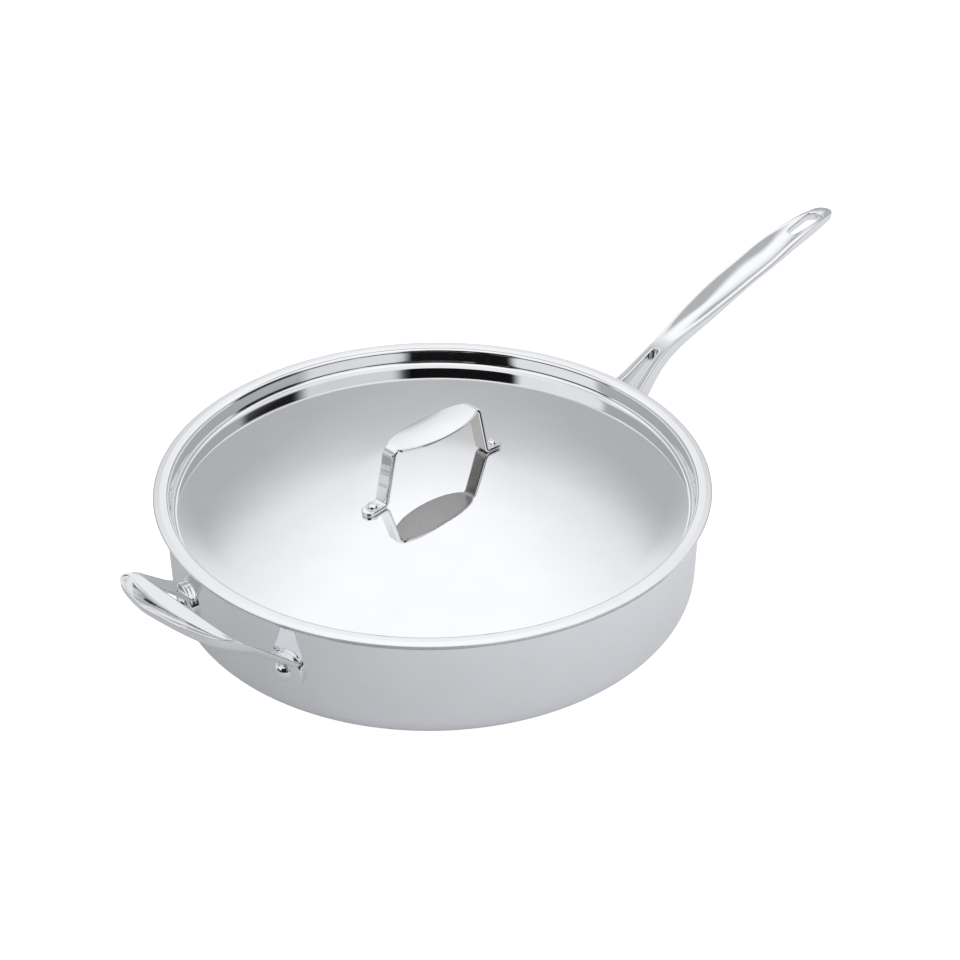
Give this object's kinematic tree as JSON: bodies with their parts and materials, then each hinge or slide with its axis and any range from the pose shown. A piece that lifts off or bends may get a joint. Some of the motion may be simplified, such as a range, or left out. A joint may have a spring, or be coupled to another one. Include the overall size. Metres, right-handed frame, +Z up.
{
  "type": "saute pan with lid",
  "caption": "Straight-sided polished clad steel saute pan with a long riveted handle, a small helper handle and a sunken lid with a strap handle.",
  "frame": {"origin": "centre of the pan's flat base, on the surface that it stands on", "axes": "+Z up along the pan's axis, +X along the long handle, -X along the helper handle"},
  "size_m": [0.6289, 0.3368, 0.1174],
  "materials": {
    "inner_steel": "satin brushed round the axis",
    "core_aluminium": "bonded, hidden between the steel plies",
    "outer_steel": "bright polished",
    "cast_steel": "mirror polished casting",
    "rivet_steel": "bright polished",
    "lid_steel": "mirror polished",
    "strap_steel": "mirror polished"
  },
  "bodies": {
    "pan": {"pan_inner_ply": "inner_steel", "pan_core_ply": "core_aluminium", "pan_outer_ply": "outer_steel", "long_handle": "cast_steel", "long_handle_rivet_left": "rivet_steel", "long_handle_rivet_middle": "rivet_steel", "long_handle_rivet_right": "rivet_steel", "helper_handle": "cast_steel", "helper_rivet_left": "rivet_steel", "helper_rivet_right": "rivet_steel"},
    "lid": {"lid_panel": "lid_steel", "lid_handle": "strap_steel", "lid_rivet_front": "rivet_steel", "lid_rivet_back": "rivet_steel"}
  },
  "joints": [
    {"name": "lid_lift", "type": "slide", "parent": "pan", "child": "lid", "axis": [0, 0, 1], "range_m": [0, 0.15]}
  ]
}
